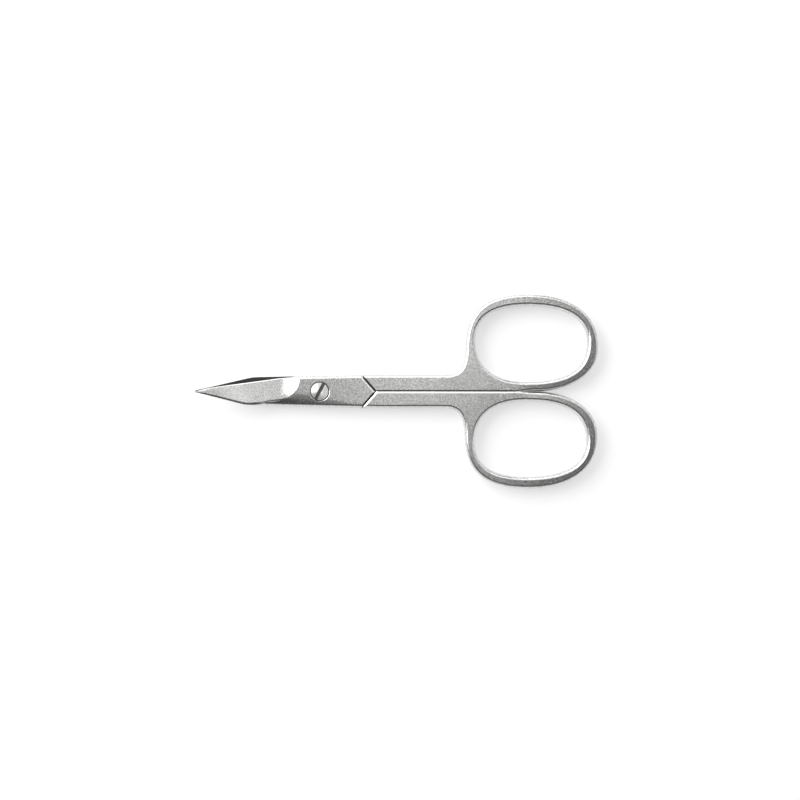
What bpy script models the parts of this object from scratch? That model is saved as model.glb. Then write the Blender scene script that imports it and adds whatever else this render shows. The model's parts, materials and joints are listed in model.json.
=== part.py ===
# Curved nail scissors: two forged steel halves that cross in a lap joint and turn on a slotted screw.
# Metres, +Z up. The scissors lie on their flat back, blades towards -X, tips curving up, closed.
# The world origin is under the middle of the whole object, on the surface that it lies on.
# The front half carries the upper finger loop (+Y) and swings about +Z to open; the rear half stays.

import math

import bmesh
import bpy
import numpy as np
from mathutils import Matrix, Vector

# Lengths along the scissors, from the pivot's axis
blade_reach = 0.0273  # pivot to tip, seen from above
front_loop_start = 0.0326  # pivot to the near side of the upper finger loop
loop_stagger = 0.0002  # how much nearer to the pivot the lower loop lies
arrow_tip = 0.0127  # pivot to the point of the lap joint's arrow-shaped end
arrow_run = 0.0033  # how far the arrow's sides run back from its point
box_start = 0.0055  # pivot to where the blades begin to narrow
front_shoulder = 0.0166  # pivot to the corner in the front blade's spine
rear_shoulder = 0.0151  # the same corner in the rear blade's spine

# Widths and thickness
box_half_width = 0.00342  # the lap joint, at the blades
shank_width = 0.00375  # one shank, from the seam to its outer edge
thickness = 0.0034  # both laps together, and each shank and loop
edge_round = 0.0008  # rounding of the outer edges
arrow_groove_depth = 0.00045  # V groove along the arrow
seam_groove_depth = 0.0003  # V groove along the seam
face_step = 0.00002  # how far the ground lap lies under the shank's face

# Finger loops: the hole and the rim around it
hole_length = 0.0250
hole_width = 0.0169
rim_near = 0.0023
rim_far = 0.0026
rim_outer = 0.0027
rim_seam = 0.0022
shank_fillet = 0.0045  # where the shank turns up into the loop

# Blades
front_shoulder_width = 0.00305  # middle line to the corner in the front blade's spine
rear_shoulder_width = 0.0032
tip_width = 0.0002
edge_belly = 0.0031  # how far from the tip the cutting edge turns in
edge_belly_width = 0.0011
corner_blend = 0.00015  # softness of those corners
runout_near = 0.0045  # pivot to where the outer grind starts at the cutting edge
runout_length = 0.0078  # how far the grind's crescent sweeps on to the spine
scoop_share = 0.21  # of the blade's ground length
tip_thickness = 0.0006
hone_width = 0.00025  # honed bevel along the cutting edge
hone_height = 0.00035
edge_thickness = 0.00008
hollow_depth = 0.00010  # the inner face is ground hollow
bend_start = 0.0055  # radius at which the blades start to curve up
bend_radius = 0.0500

# Pivot screw
head_radius = 0.00198
head_depth = 0.0007
head_crown = 0.00012
head_edge = 0.00012
shank_radius = 0.0013
slot_width = 0.00075
slot_depth = 0.0004
slot_angle = math.radians(63)
rivet_radius = 0.0017  # the screw's end, spread into the rear half
rivet_depth = 0.0003
mouth_chamfer = 0.00015

# Clearances
lap_gap = 0.0001  # between the two laps, and the two blades
seam_gap = 0.0002  # between the closed shanks
head_gap = 0.0002  # around the screw's head
running_gap = 0.00005  # around the screw's shank
overrun = 0.0010  # how far a cutter runs past what it cuts
weld_distance = 0.000001  # points nearer than this are one point

# Fineness of the facets
curve_steps = 12
round_steps = 2
turn_steps = 48
face_points = 9
box_stations = 8
blade_stations = 22
station_spread = 1.25  # above 1, the blade's sections crowd towards the grind
smooth_angle = math.radians(40)  # corners sharper than this stay sharp in the shading

# Worked out from the sizes above
rear_loop_start = front_loop_start - loop_stagger
loop_length = rim_near + hole_length + rim_far
loop_width = rim_seam + hole_width + rim_outer
handle_reach = max(front_loop_start, rear_loop_start) + loop_length
middle = thickness / 2
lap_top = middle - face_step
lap_bottom = lap_gap / 2
pivot_x = (blade_reach - handle_reach) / 2
arrow_slope = arrow_run / shank_width
arrow_gap = seam_gap / 2 * math.hypot(1, arrow_slope)

# Outlines, as shares of the loop's or the hole's length and width: place, then the handles before and after
loop_shares = (
    (0.000, 0.440, -0.006, -0.190, 0.002, 0.370),
    (0.478, 1.000, -0.350, 0.000, 0.322, 0.000),
    (1.000, 0.455, 0.000, 0.345, 0.000, -0.300),
    (0.549, 0.000, 0.220, 0.000, -0.080, 0.000),
)
hole_shares = (
    (0.000, 0.544, 0.000, -0.323, 0.000, 0.288),
    (0.466, 1.000, -0.328, 0.000, 0.340, 0.000),
    (1.000, 0.530, 0.000, 0.310, 0.000, -0.380),
    (0.462, 0.000, 0.350, 0.000, -0.325, 0.000),
)
seam_end_share = 0.28  # of the loop's length, where the rounded rim has left the seam
fillet_share = 0.72  # how full the turn from shank to loop is
seam_groove_share = 0.62  # of the loop's length, where the V groove along the seam ends
crown_shares = (0, 0.5, 0.75, 1)  # of the screw head's flat radius, where the dome's height is worked out
bevel_share = 0.33  # of a blade's width, at most, for each of its edge bevels
hone_share = 0.67  # of a blade's thickness, at most, for the honed bevel
round_share = 1 - math.sqrt(0.5)  # how far in the middle of a quarter round lies, of its radius
level_share = 0.999  # a face whose normal points up by this much is level


def clear_scene():
    for thing in list(bpy.data.objects):
        bpy.data.objects.remove(thing, do_unlink=True)


def new_collection(name):
    collection = bpy.data.collections.new(name)
    bpy.context.scene.collection.children.link(collection)
    return collection


def steel(name, colour, roughness):
    material = bpy.data.materials.new(name)
    material.use_nodes = True
    shader = material.node_tree.nodes["Principled BSDF"]
    shader.inputs["Base Color"].default_value = colour
    shader.inputs["Metallic"].default_value = 1
    shader.inputs["Roughness"].default_value = roughness
    return material


def add_object(name, mesh, collection):
    """Puts a mesh in the scene, placed by the pivot's empty."""
    thing = bpy.data.objects.new(name, mesh)
    collection.objects.link(thing)
    thing.parent = pivot
    return thing


def as_cutter(thing):
    thing.hide_render = True
    thing.display_type = "WIRE"
    return thing


def shade_round(mesh):
    """Shades the sides smooth; level faces and sharp corners stay as they are."""
    mesh.shade_smooth()
    mesh.set_sharp_from_angle(angle=smooth_angle)
    for face in mesh.polygons:
        face.use_smooth = abs(face.normal.z) < level_share


def made_solid(drawn):
    """The welded mesh of a curve, or of a profile with its Screw; the drawing itself is removed."""
    cutters.objects.link(drawn)
    depsgraph = bpy.context.evaluated_depsgraph_get()
    mesh = bpy.data.meshes.new_from_object(drawn.evaluated_get(depsgraph))
    bpy.data.objects.remove(drawn, do_unlink=True)
    weld = bmesh.new()
    weld.from_mesh(mesh)
    bmesh.ops.remove_doubles(weld, verts=weld.verts, dist=weld_distance)
    weld.to_mesh(mesh)
    weld.free()
    shade_round(mesh)
    return mesh


def combine(thing, operation, other):
    step = thing.modifiers.new(f"{operation.lower()}_{other.name}", "BOOLEAN")
    step.operation = operation
    step.solver = "EXACT"
    step.object = other


def turned_over(side):
    """The rear half is the front half turned over about the scissors' long axis."""
    centre = Matrix.Translation((0, 0, middle))
    turn = Matrix.Rotation(math.pi, 4, "X") if side < 0 else Matrix.Identity(4)
    return centre @ turn @ centre.inverted()


def bezier_loop(curve, rows):
    """Closed outline from rows of a point and its handles; a side with no handles at either end is straight."""
    points = []
    for row, following in zip(rows, rows[1:] + rows[:1]):
        start, end = np.array(row[:2]), np.array(following[:2])
        leave, arrive = np.array(row[4:]), np.array(following[2:4])
        straight = not (leave.any() or arrive.any())
        way = np.linspace(0, 1, 1 if straight else curve_steps, endpoint=False)[:, None]
        back = 1 - way
        first, second = start + leave, end + arrive
        points.append(back**3 * start + 3 * back**2 * way * first + 3 * back * way**2 * second + way**3 * end)
    points = np.concatenate(points)
    spline = curve.splines.new("POLY")
    spline.points.add(len(points) - 1)
    spline.use_cyclic_u = True
    for point, (x, y) in zip(spline.points, points):
        point.co = (x, y, 0, 1)


def scaled_rows(shares, start_x, start_y, length, width):
    size = np.array([length, width] * 3)
    start = np.array([start_x, start_y] + [0] * 4)
    return [tuple(start + size * row) for row in np.array(shares)]


def handle_outline(loop_start):
    """The upper handle: round the loop, back along the seam, then up the arrow to the shank's outer edge."""
    loop = scaled_rows(loop_shares, loop_start, 0, loop_length, loop_width)
    turn_x = loop_start - shank_fillet
    loop_turn = loop_start + seam_end_share * loop_length
    below = -edge_round
    arrow_foot = arrow_tip + arrow_gap - below * arrow_slope
    arrow_head = arrow_tip + arrow_gap - shank_width * arrow_slope
    seam_row = (loop_turn, below, edge_round, 0, 0, 0)
    foot_row = (arrow_foot, below, 0, 0, 0, 0)
    head_row = (arrow_head, shank_width, 0, 0, 0, 0)
    turn_row = (turn_x, shank_width, 0, 0, shank_fillet * fillet_share, 0)
    return loop + [seam_row, foot_row, head_row, turn_row]


def handle_mesh(side, loop_start):
    """Shank and finger loop: a flat outline with a hole, as thick as both laps, with rounded edges."""
    curve = bpy.data.curves.new("handle_outline", "CURVE")
    curve.dimensions = "2D"
    curve.fill_mode = "BOTH"
    curve.extrude = middle - edge_round
    curve.bevel_depth = edge_round
    curve.bevel_resolution = round_steps
    curve.offset = -edge_round
    bezier_loop(curve, handle_outline(loop_start))
    hole_rows = scaled_rows(hole_shares, loop_start + rim_near, rim_seam, hole_length, hole_width)
    bezier_loop(curve, hole_rows)
    mesh = made_solid(bpy.data.objects.new("handle_drawing", curve))
    mesh.transform(turned_over(side) @ Matrix.Translation((0, 0, middle)))
    return mesh


def soft_lower(first, second):
    """The lower of two lines, with the corner between them softened."""
    return (first + second - np.sqrt((first - second) ** 2 + corner_blend**2)) / 2


def line(x, start, end):
    """Height at x of the straight line through two points."""
    return start[1] + (x - start[0]) * (end[1] - start[1]) / (end[0] - start[0])


def edge_side(x):
    """Outline on the cutting edge's side, as a distance from the middle line."""
    root = (-box_start, box_half_width)
    belly = (-blade_reach + edge_belly, edge_belly_width)
    box = line(x, root, (arrow_tip - arrow_run, shank_width - face_step))
    blade = soft_lower(line(x, root, belly), line(x, belly, (-blade_reach, 0)))
    return np.where(x < -box_start, blade, np.minimum(box, shank_width - face_step))


def spine_side(x, shoulder, shoulder_width):
    """Outline on the spine's side, as a distance from the middle line."""
    root = (-box_start, box_half_width)
    corner = (-shoulder, shoulder_width)
    box = line(x, root, (arrow_tip - arrow_run, shank_width - face_step))
    blade = soft_lower(line(x, root, corner), line(x, corner, (-blade_reach, tip_width)))
    return np.where(x < -box_start, blade, np.minimum(box, shank_width - face_step))


def bend(x, y):
    """Rise of the curved blades: a bowl about the pivot's axis, so the blades pass at every angle."""
    beyond = np.maximum(np.hypot(x, y) - bend_start, 0)
    return np.where(x < 0, beyond**2 / (2 * bend_radius), 0)


def arm_rings(shoulder, shoulder_width):
    """Sections of one lap and blade, from inside the shank to the tip, as arrays of x, y and height.

    Each section starts at the foot of the spine, goes over the outer face to the cutting edge and back
    along the inner face. The section where the outer grind starts follows the grind's crescent.
    """
    sweep = np.linspace(0, math.pi / 2, face_points)
    across = 1 - np.cos(sweep)
    inner = across[-2:0:-2]
    share = np.concatenate([np.zeros(3), across, np.ones(3), inner])
    crescent = -runout_near - runout_length * (1 - np.sqrt(1 - (1 - share) ** 2))
    root = arrow_tip + arrow_run
    box_way = np.linspace(1, 0, box_stations)[:, None]
    blade_way = (np.linspace(0, 1, blade_stations)[1:] ** station_spread)[:, None]
    box_x = crescent + (root - crescent) * box_way
    blade_x = crescent + (-blade_reach - crescent) * blade_way
    x = np.concatenate([box_x, blade_x])
    way = np.concatenate([0 * box_way, blade_way]) * np.ones_like(x)

    spine = -spine_side(x, shoulder, shoulder_width)
    edge = edge_side(x)
    width = edge - spine
    scoop = np.clip(1 - way / scoop_share, 0, 1) ** 2
    ground = np.clip((-runout_near - runout_length - x) / (blade_reach - runout_near - runout_length), 0, 1)
    ridge = lap_top + (tip_thickness - lap_top) * ground
    spine_round = np.minimum(edge_round * ridge / lap_top, width * bevel_share)
    hone_top = np.minimum(hone_height, ridge * hone_share)
    edge_bevel = np.minimum(hone_width + (edge_round - hone_width) * scoop, width * bevel_share)
    edge_flat = hone_top + (lap_top - hone_top) * scoop
    edge_wall = edge_thickness + (lap_top - edge_round - edge_thickness) * scoop + lap_bottom * (1 - scoop)
    edge_middle_share = 0.5 + (round_share - 0.5) * scoop

    y = spine + width * share
    height = np.full_like(x, lap_bottom)
    face_first, face_last = 3, 3 + face_points
    height[:, 1] = (ridge - spine_round)[:, 1]
    height[:, 2] = (ridge - spine_round * round_share)[:, 2]
    y[:, 2] = (spine + spine_round * round_share)[:, 2]
    face = slice(face_first, face_last)
    face_width = (width - spine_round - edge_bevel)[:, face]
    y[:, face] = (spine + spine_round)[:, face] + face_width * across
    plain = ridge + (hone_top - ridge) * share
    height[:, face] = (plain + (lap_top - plain) * scoop)[:, face]
    y[:, face_last] = (edge - edge_bevel * edge_middle_share)[:, face_last]
    drop = edge_flat - edge_wall
    height[:, face_last] = (edge_flat - drop * edge_middle_share)[:, face_last]
    height[:, face_last + 1] = edge_wall[:, face_last + 1]
    back = slice(face_last + 3, None)
    hollow = hollow_depth * np.sin(math.pi * share) * np.clip(way / scoop_share, 0, 1) * (1 - way)
    height[:, back] += hollow[:, back]
    return x, y, height


def arm_mesh(name, side, shoulder, shoulder_width):
    """One lap and blade, skinned over its sections and closed at both ends."""
    x, y, height = arm_rings(shoulder, shoulder_width)
    places = np.stack([x, side * y, middle + side * height + bend(x, y)], axis=-1)
    stations, ring = x.shape
    index = np.arange(stations * ring).reshape(stations, ring)
    following = np.roll(index, -1, axis=1)
    corners = (index[:-1], following[:-1], following[1:], index[1:])
    quads = np.stack(corners, axis=-1).reshape(-1, 4)
    faces = [tuple(row) for row in quads.tolist()]
    faces += [tuple(index[0, ::-1].tolist()), tuple(index[-1].tolist())]
    mesh = bpy.data.meshes.new(name)
    mesh.from_pydata(places.reshape(-1, 3).tolist(), [], faces)
    mesh.validate()
    shade_round(mesh)
    return mesh


def prism(name, corners, low, high):
    """Closed block over a flat outline."""
    block = bmesh.new()
    base = [block.verts.new((x, y, low)) for x, y in corners]
    face = block.faces.new(base)
    grown = bmesh.ops.extrude_face_region(block, geom=[face])
    raised = [part for part in grown["geom"] if isinstance(part, bmesh.types.BMVert)]
    bmesh.ops.translate(block, verts=raised, vec=(0, 0, high - low))
    bmesh.ops.recalc_face_normals(block, faces=block.faces)
    mesh = bpy.data.meshes.new(name)
    block.to_mesh(mesh)
    block.free()
    return mesh


def mate_clearance(name, side):
    """Room for the other half's handle: past the arrow's far side and across the seam."""
    reach = handle_reach + overrun
    depth = loop_width + overrun
    point_x = arrow_tip - arrow_gap - seam_gap / 2 * arrow_slope
    corners = (
        (point_x, seam_gap / 2),
        (reach, seam_gap / 2),
        (reach, -depth),
        (point_x - (depth + seam_gap / 2) * arrow_slope, -depth),
    )
    mesh = prism(name, corners, -overrun, thickness + overrun)
    mesh.transform(turned_over(side))
    return as_cutter(add_object(name, mesh, cutters))


def groove_cutter(name, start, end, height, depth, side):
    """A square bar on its edge, which cuts a V groove between two points."""
    start, end = Vector((*start, height)), Vector((*end, height))
    way = end - start
    bar = bmesh.new()
    bmesh.ops.create_cube(bar, size=1)
    width = depth * math.sqrt(2)
    bmesh.ops.scale(bar, verts=bar.verts, vec=(way.length, width, width))
    on_edge = Matrix.Rotation(math.radians(45), 4, "X")
    along = Matrix.Rotation(math.atan2(way.y, way.x), 4, "Z")
    place = turned_over(side) @ Matrix.Translation((start + end) / 2) @ along @ on_edge
    bmesh.ops.transform(bar, matrix=place, verts=bar.verts)
    mesh = bpy.data.meshes.new(name)
    bar.to_mesh(mesh)
    bar.free()
    return as_cutter(add_object(name, mesh, cutters))


def turned(name, profile, collection):
    """A profile of radius and height, top to bottom, turned about the pivot's axis."""
    outline = bpy.data.meshes.new(f"{name}_profile")
    links = [(k, k + 1) for k in range(len(profile) - 1)]
    outline.from_pydata([(radius, 0, height) for radius, height in profile], links, [])
    drawn = bpy.data.objects.new(f"{name}_drawing", outline)
    spin = drawn.modifiers.new("turn", "SCREW")
    spin.axis = "Z"
    spin.steps = spin.render_steps = turn_steps
    spin.use_merge_vertices = True
    spin.merge_threshold = weld_distance
    return add_object(name, made_solid(drawn), collection)


def add_grooves(half, side, loop_start):
    tip = (arrow_tip, 0)
    wing_run = shank_width + overrun
    wing_x = arrow_tip - wing_run * arrow_slope
    seam_end = loop_start + loop_length * seam_groove_share
    runs = (
        ("arrow_end", (wing_x, -wing_run), thickness, arrow_groove_depth),
        ("arrow_line", (wing_x, wing_run), thickness, arrow_groove_depth),
        ("seam_front", (seam_end, 0), thickness, seam_groove_depth),
        ("seam_back", (seam_end, 0), 0, seam_groove_depth),
    )
    for label, end, height, depth in runs:
        name = f"{half.name}_{label}"
        combine(half, "DIFFERENCE", groove_cutter(name, tip, end, height, depth, side))


def add_half(name, side, shoulder, shoulder_width, loop_start, bore_profile):
    """One half: lap and blade joined to the handle, then cleared for the other half and the screw."""
    half = add_object(name, arm_mesh(name, side, shoulder, shoulder_width), scissors)
    half.data.materials.append(satin)
    handle = as_cutter(add_object(f"{name}_handle", handle_mesh(side, loop_start), cutters))
    combine(half, "UNION", handle)
    combine(half, "DIFFERENCE", mate_clearance(f"{name}_mate_clearance", side))
    add_grooves(half, side, loop_start)
    combine(half, "DIFFERENCE", as_cutter(turned(f"{name}_bore", bore_profile, cutters)))
    return half


def front_bore():
    """Counterbore with a broken edge for the screw's head, and a running hole for its shank."""
    top = middle + lap_top
    mouth = head_radius + head_gap
    floor = top - head_depth - running_gap
    hole = shank_radius + running_gap
    return (
        (0, top + overrun),
        (mouth + mouth_chamfer + overrun, top + overrun),
        (mouth, top - mouth_chamfer),
        (mouth, floor),
        (hole, floor),
        (hole, middle - overrun),
        (0, middle - overrun),
    )


def rear_bore():
    """Hole for the screw's shank, opened at the back where its end is spread."""
    bottom = face_step
    hole = shank_radius + running_gap
    spread = rivet_radius + running_gap
    lean = (spread - hole) / rivet_depth
    return (
        (0, middle + overrun),
        (hole, middle + overrun),
        (hole, bottom + rivet_depth),
        (spread + lean * overrun, bottom - overrun),
        (0, bottom - overrun),
    )


def add_screw():
    """Slotted screw with a slightly domed head; its far end is spread flush with the back."""
    top = middle + lap_top
    under = top - head_depth
    bottom = face_step * 2
    crown = [((head_radius - head_edge) * share, top - head_crown * share**2) for share in crown_shares]
    profile = (
        *crown,
        (head_radius, top - head_crown - head_edge),
        (head_radius, under),
        (shank_radius, under),
        (shank_radius, bottom + rivet_depth + running_gap),
        (rivet_radius - running_gap, bottom),
        (0, bottom),
    )
    screw = turned("pivot_screw", profile, scissors)
    screw.data.materials.append(polished)
    slot = bmesh.new()
    bmesh.ops.create_cube(slot, size=1)
    size = (2 * (head_radius + overrun), slot_width, 2 * slot_depth)
    bmesh.ops.scale(slot, verts=slot.verts, vec=size)
    place = Matrix.Translation((0, 0, top)) @ Matrix.Rotation(slot_angle, 4, "Z")
    bmesh.ops.transform(slot, matrix=place, verts=slot.verts)
    mesh = bpy.data.meshes.new("pivot_screw_slot")
    slot.to_mesh(mesh)
    slot.free()
    combine(screw, "DIFFERENCE", as_cutter(add_object("pivot_screw_slot", mesh, cutters)))


clear_scene()
scissors = new_collection("curved_nail_scissors")
cutters = new_collection("cutters")
pivot = bpy.data.objects.new("pivot_axis", None)
pivot.location = (pivot_x, 0, 0)
scissors.objects.link(pivot)

satin = steel("satin_steel", (0.42, 0.42, 0.43, 1), 0.42)
polished = steel("polished_steel", (0.62, 0.62, 0.63, 1), 0.16)
add_half("front_half", 1, front_shoulder, front_shoulder_width, front_loop_start, front_bore())
add_half("rear_half", -1, rear_shoulder, rear_shoulder_width, rear_loop_start, rear_bore())
add_screw()
print("overall length", round(blade_reach + handle_reach, 5), "width", round(2 * loop_width, 5))
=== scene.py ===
# Curved nail scissors in stainless steel, closed, lying on a pale table and seen from straight
# above. Both forged halves and the screw are made here as fine meshes, in the places that the
# CAD frame gives. Lengths are in millimetres from the pivot's axis, with +Z up and the blades
# towards -X.

import json
import math

import bmesh
import bpy
import numpy as np
from mathutils import Matrix, Vector
from mathutils.geometry import delaunay_2d_cdt


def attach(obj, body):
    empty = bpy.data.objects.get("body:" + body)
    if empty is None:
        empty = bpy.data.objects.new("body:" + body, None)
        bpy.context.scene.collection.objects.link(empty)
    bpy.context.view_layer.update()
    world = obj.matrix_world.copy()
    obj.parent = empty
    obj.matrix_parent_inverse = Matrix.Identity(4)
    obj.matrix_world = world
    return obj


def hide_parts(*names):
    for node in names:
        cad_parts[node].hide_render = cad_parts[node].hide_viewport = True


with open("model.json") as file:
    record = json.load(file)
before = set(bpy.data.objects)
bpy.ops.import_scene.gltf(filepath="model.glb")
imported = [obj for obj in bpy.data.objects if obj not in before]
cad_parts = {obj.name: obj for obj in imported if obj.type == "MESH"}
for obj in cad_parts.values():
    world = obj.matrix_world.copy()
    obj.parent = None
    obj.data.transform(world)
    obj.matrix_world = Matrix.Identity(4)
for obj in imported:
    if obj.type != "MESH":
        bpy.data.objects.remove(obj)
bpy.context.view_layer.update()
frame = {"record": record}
mm = 0.001
pivotX = frame["record"]["behaviour"]["joints"][0]["pos_m"][0]
print("frame loaded, pivot at", pivotX)

# What both halves share
forging = {
    "thickness": 3.4,  # both laps together, and each shank and loop
    "faceStep": 0.02,  # how far the ground lap lies under the shank's face
    "lapGap": 0.1,  # between the laps
    "seamGap": 0.06,  # between the shanks, and at the arrow's shoulders
    "boxHalfWidth": 3.42,  # the lap joint, at the blades
    "boxStart": 5.5,  # pivot to where the blades begin to narrow
    "arrowTip": 12.7,  # pivot to the point of the lap joint's arrow-shaped end
    "arrowRun": 3.3,  # how far the arrow's sides run back from its point
    "shankWidth": 3.75,  # one shank, from the seam to its outer edge
    "shankFillet": 4.5,  # where the shank turns up into the loop
    "filletShare": 0.72,  # of the fillet, for the curve's handle
    "seamEndShare": 0.28,  # of the loop's length, where it leaves the seam
    "edgeRound": 0.65,  # width of the rounded edges
    "edgeStart": 6,  # their tilt where they leave the flat, in degrees
    "draft": 0.15,  # how far the sides lean out to mid-thickness
    "holeLength": 25.0, "holeWidth": 16.9,
    "rimNear": 2.3, "rimFar": 2.6, "rimOuter": 2.7, "rimSeam": 2.2,
    "loopLean": 0.03,  # share of its height that the loop's outline has lost at its far end
    "leanStartShare": 0.3, "leanRunShare": 0.4,  # of the loop's length
    "curveSteps": 44, "roundSteps": 11,
}

# The finger loop and its hole, in shares of their length and width. Each row is a point, then
# the handle of the curve before it and the handle of the curve after it.
loopShares = (
    (0.000, 0.440, -0.006, -0.190, 0.002, 0.370),
    (0.478, 1.000, -0.350, 0.000, 0.322, 0.000),
    (1.000, 0.455, 0.000, 0.345, 0.000, -0.300),
    (0.549, 0.000, 0.220, 0.000, -0.080, 0.000),
)
holeShares = (
    (0.000, 0.544, 0.000, -0.323, 0.000, 0.288),
    (0.466, 1.000, -0.328, 0.000, 0.340, 0.000),
    (1.000, 0.530, 0.000, 0.310, 0.000, -0.380),
    (0.462, 0.000, 0.350, 0.000, -0.325, 0.000),
)

# The ground blades
grind = {
    "bladeReach": 27.3,  # pivot to tip, seen from above
    "tipWidth": 0.2, "tipThickness": 0.6,
    "edgeBelly": 3.1, "edgeBellyWidth": 0.85,  # where the cutting edge turns in, from the tip
    "cornerBlend": 0.15,  # softness of the outline's corners
    "runoutNear": 4.5,  # pivot to where the outer grind starts at the cutting edge
    "runoutLength": 7.8,  # how far the grind's crescent sweeps on to the spine
    "scoopShare": 0.21,  # of the blade's ground length
    "honeWidth": 0.17, "honeHeight": 0.27,  # the bevel along the cutting edge
    "honeLimitShare": 0.67,  # of the local thickness, at most
    "roundLimitShare": 0.33,  # of the local width, at most, for the bevel and the spine's round
    "spineEase": 0.6,  # share of its depth that the spine's round loses on the ground blade
    "edgeThickness": 0.08,
    "hollowDepth": 0.10,  # the inner face is ground hollow
    "bendStart": 5.5, "bendRadius": 50.0,  # the blades curve up from this distance
    "rollRate": 0.055, "rollStart": 1.0, "rollLean": 0.25,  # the lap's lower left corner
    "facePoints": 41, "boxStations": 14, "bladeStations": 130,
    "stationSpread": 1.25,  # stations crowd together towards the crescent
}

middle = forging["thickness"] / 2
lapTop = middle - forging["faceStep"]
lapBottom = forging["lapGap"] / 2
arrowSlope = forging["arrowRun"] / forging["shankWidth"]
arrowGap = forging["seamGap"] / 2 * math.hypot(1, arrowSlope)
loopLength = forging["rimNear"] + forging["holeLength"] + forging["rimFar"]
loopWidth = forging["rimSeam"] + forging["holeWidth"] + forging["rimOuter"]
edgeInset = forging["edgeRound"] + forging["draft"]
overrun = 1.0  # how far cutters reach past what they cut

# Slots of a half's mesh, in the order of its materials, and the screw's. The last of each is the
# joint steel, painted dark as shade.
blastedSlot, groundSlot, honedSlot, jointPaintedShadeSlot = range(4)
turnedSlot, screwPaintedShadeSlot = range(2)


# A new mesh from arrays of points and faces. It gets four empty slots, so that every Boolean
# step keeps their numbers.
def meshFrom(name, points, faces, slots=None):
    mesh = bpy.data.meshes.new(name)
    mesh.from_pydata(np.asarray(points).tolist(), [], faces)
    for _ in range(jointPaintedShadeSlot + 1):
        mesh.materials.append(None)
    if slots is not None:
        mesh.polygons.foreach_set("material_index", np.asarray(slots, dtype=np.int32))
    mesh.validate()
    return mesh


# An object for a mesh, light or camera, in the scene's own collection
def addObject(name, content):
    thing = bpy.data.objects.new(name, content)
    bpy.context.scene.collection.objects.link(thing)
    return thing


# The rear half is the front half turned over about the long axis: (x, y, z) goes to
# (x, -y, thickness - z)
def turnedOver(points, side):
    if side > 0:
        return points
    return points * (1, -1, -1) + (0, 0, forging["thickness"])


# A closed outline of cubic arcs: the point at t is the sum of start, start + leave,
# end + arrive and end, weighted by the Bernstein polynomials of t. A side with no handles at
# either end is one straight line.
def closedCurve(rows):
    parts = []
    for row, following in zip(rows, rows[1:] + rows[:1]):
        start, end = np.array(row[:2]), np.array(following[:2])
        leave, arrive = np.array(row[4:]), np.array(following[2:4])
        straight = not (leave.any() or arrive.any())
        count = 1 if straight else forging["curveSteps"]
        t = np.linspace(0, 1, count, endpoint=False)[:, None]
        back = 1 - t
        parts.append(back**3 * start + 3 * back**2 * t * (start + leave)
                     + 3 * back * t**2 * (end + arrive) + t**3 * end)
    return np.concatenate(parts)


# Rows of shares, times length and width, from a starting point
def scaledRows(shares, startX, startY, length, width):
    start = np.array([startX, startY, 0, 0, 0, 0])
    return [tuple(start + np.array([length, width] * 3) * row) for row in np.array(shares)]


# The y at x of the straight line through two points
def lineAt(x, start, end):
    return start[1] + (x - start[0]) * (end[1] - start[1]) / (end[0] - start[0])


# Where the handle's side of the arrow stands at a given y
def arrowSide(y):
    return forging["arrowTip"] + arrowGap - y * arrowSlope


# Half-width of the straight box at x, and of the shank beyond it
def boxSide(x):
    root = (-forging["boxStart"], forging["boxHalfWidth"])
    full = forging["shankWidth"] - forging["faceStep"]
    return np.minimum(lineAt(x, root, (forging["arrowTip"] - forging["arrowRun"], full)), full)


# The outline of shank and loop together, clockwise: loop, seam, arrow, shank. On the arrow's
# side it reaches into the box, so that its rounded end is buried there.
def handleOutline(loopStart):
    rows = scaledRows(loopShares, loopStart, 0, loopLength, loopWidth)
    below = -edgeInset
    width, fillet = forging["shankWidth"], forging["shankFillet"]
    buried = edgeInset * math.hypot(1, arrowSlope)
    headX = arrowSide(width)
    seamEnd = loopStart + forging["seamEndShare"] * loopLength
    rows.append((seamEnd, below, edgeInset, 0, 0, 0))
    rows.append((arrowSide(below) - buried, below, 0, 0, 0, 0))
    headY = boxSide(headX - buried) - forging["faceStep"]
    rows.append((headX - buried, headY, 0, 0, 0, 0))
    rows.append((forging["arrowTip"], width, 0, 0, 0, 0))
    rows.append((loopStart - fillet, width, 0, 0, fillet * forging["filletShare"], 0))
    return closedCurve(rows)


# A rounded edge as inset and drop, from the flat face outwards. The arc starts at edgeStart
# degrees from level, which leaves the crisp line that a linishing belt gives, and ends upright:
# its radius is width / (1 - sin start).
def edgeArc(width):
    start = math.radians(forging["edgeStart"])
    radius = width / (1 - math.sin(start))
    angle = np.linspace(start, math.pi / 2, forging["roundSteps"] + 1)
    return radius * (1 - np.sin(angle)), radius * (math.cos(start) - np.cos(angle))


# Rounded rim of a clockwise outline (or a counterclockwise hole): the outline moved inwards
# along its mitres by the edge arc's inset while the height drops, and the same upside down for
# the lower edge. Between the two the sides lean out to the parting line at mid-thickness, by
# the forging's draft.
def rimGrid(outline):
    ahead = np.roll(outline, -1, axis=0) - outline
    ahead /= np.linalg.norm(ahead, axis=1)[:, None]
    normal = np.stack([ahead[:, 1], -ahead[:, 0]], axis=1)
    before = np.roll(normal, 1, axis=0)
    mitre = (normal + before) / (1 + (normal * before).sum(axis=1))[:, None]
    inset, drop = edgeArc(forging["edgeRound"])
    draft = forging["draft"]
    inset = np.concatenate([inset + draft, [0], inset[::-1] + draft])
    height = np.concatenate([forging["thickness"] - drop, [middle], drop[::-1]])
    flat = outline[None] + mitre[None] * inset[:, None, None]
    level = np.broadcast_to(height[:, None, None], flat.shape[:2] + (1,))
    return np.concatenate([flat, level], axis=2)


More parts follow.
